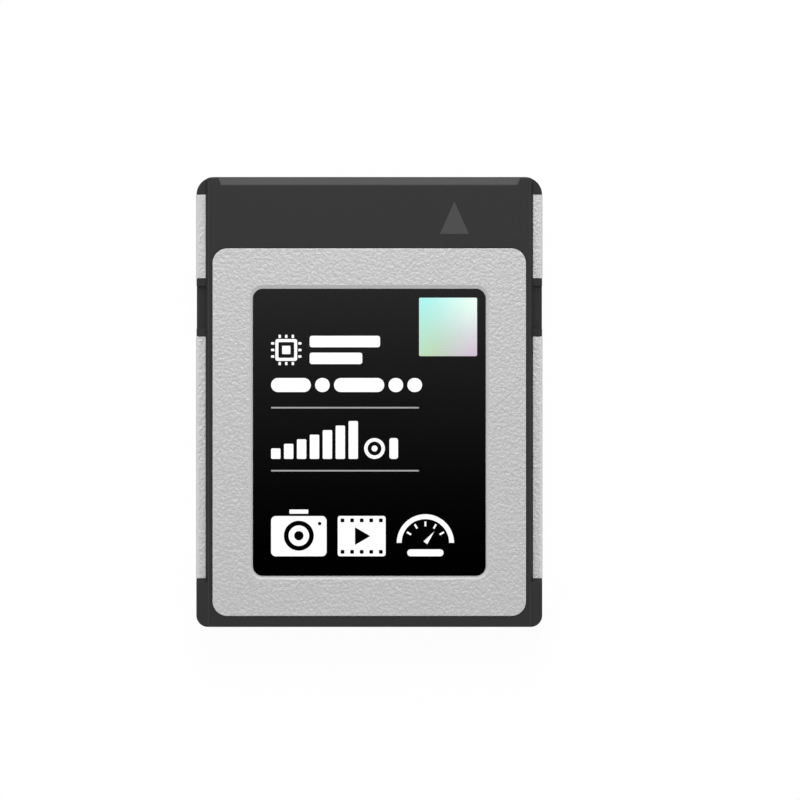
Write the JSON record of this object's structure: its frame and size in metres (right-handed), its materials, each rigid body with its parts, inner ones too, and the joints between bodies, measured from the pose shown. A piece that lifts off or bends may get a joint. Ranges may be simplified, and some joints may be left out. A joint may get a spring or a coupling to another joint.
{
  "type": "memory card",
  "caption": "Slim rectangular camera memory card: dark moulded frame with stepped, notched side rails, silver face plate with a black label, metal back cover and an end connector.",
  "frame": {"origin": "centre of the back face, which lies on the surface", "axes": "+Z out of the label side, +Y towards the end that goes into the slot, +X across the card"},
  "size_m": [0.0296, 0.0384, 0.0038],
  "materials": {
    "frame_plastic": "charcoal glass-filled moulding, fine spark texture",
    "plate_metal": "thin stainless sheet, blasted to a fine satin grain",
    "adhesive_film": "black double-sided film",
    "label_film": "matt black printed film",
    "label_ink": "white screen-printed ink",
    "label_foil": "pastel iridescent foil",
    "arrow_ink": "grey pad-printed ink",
    "cover_metal": "folded stainless sheet, fine satin grain",
    "connector_plastic": "black liquid-crystal polymer, smooth",
    "contact_gold": "gold-plated copper alloy, bright",
    "board_laminate": "glass-epoxy board with green solder mask",
    "chip_resin": "black moulded epoxy, matt",
    "crystal_lid": "nickel-plated lid on a ceramic base",
    "inductor_ferrite": "pressed ferrite powder, grey",
    "capacitor_ceramic": "tan ceramic with tinned ends",
    "resistor_ceramic": "black glaze on ceramic with tinned ends",
    "thermal_pad": "soft grey-blue silicone pad"
  },
  "bodies": {
    "root": {"frame": "frame_plastic", "front_plate": "plate_metal", "plate_adhesive": "adhesive_film", "label": "label_film", "back_cover": "cover_metal", "connector_housing": "connector_plastic", "ground_contacts": "contact_gold", "signal_contacts": "contact_gold", "circuit_board": "board_laminate", "controller_chip": "chip_resin", "flash_chip_front": "chip_resin", "flash_chip_back": "chip_resin", "buffer_memory_chip": "chip_resin", "power_chip": "chip_resin", "boot_memory_chip": "chip_resin", "clock_crystal": "crystal_lid", "power_inductors": "inductor_ferrite", "bulk_capacitors": "capacitor_ceramic", "row_capacitors": "capacitor_ceramic", "chip_resistors": "resistor_ceramic", "thermal_pad_controller": "thermal_pad", "thermal_pad_flash_front": "thermal_pad", "thermal_pad_flash_back": "thermal_pad", "thermal_pad_buffer": "thermal_pad"}
  },
  "joints": []
}
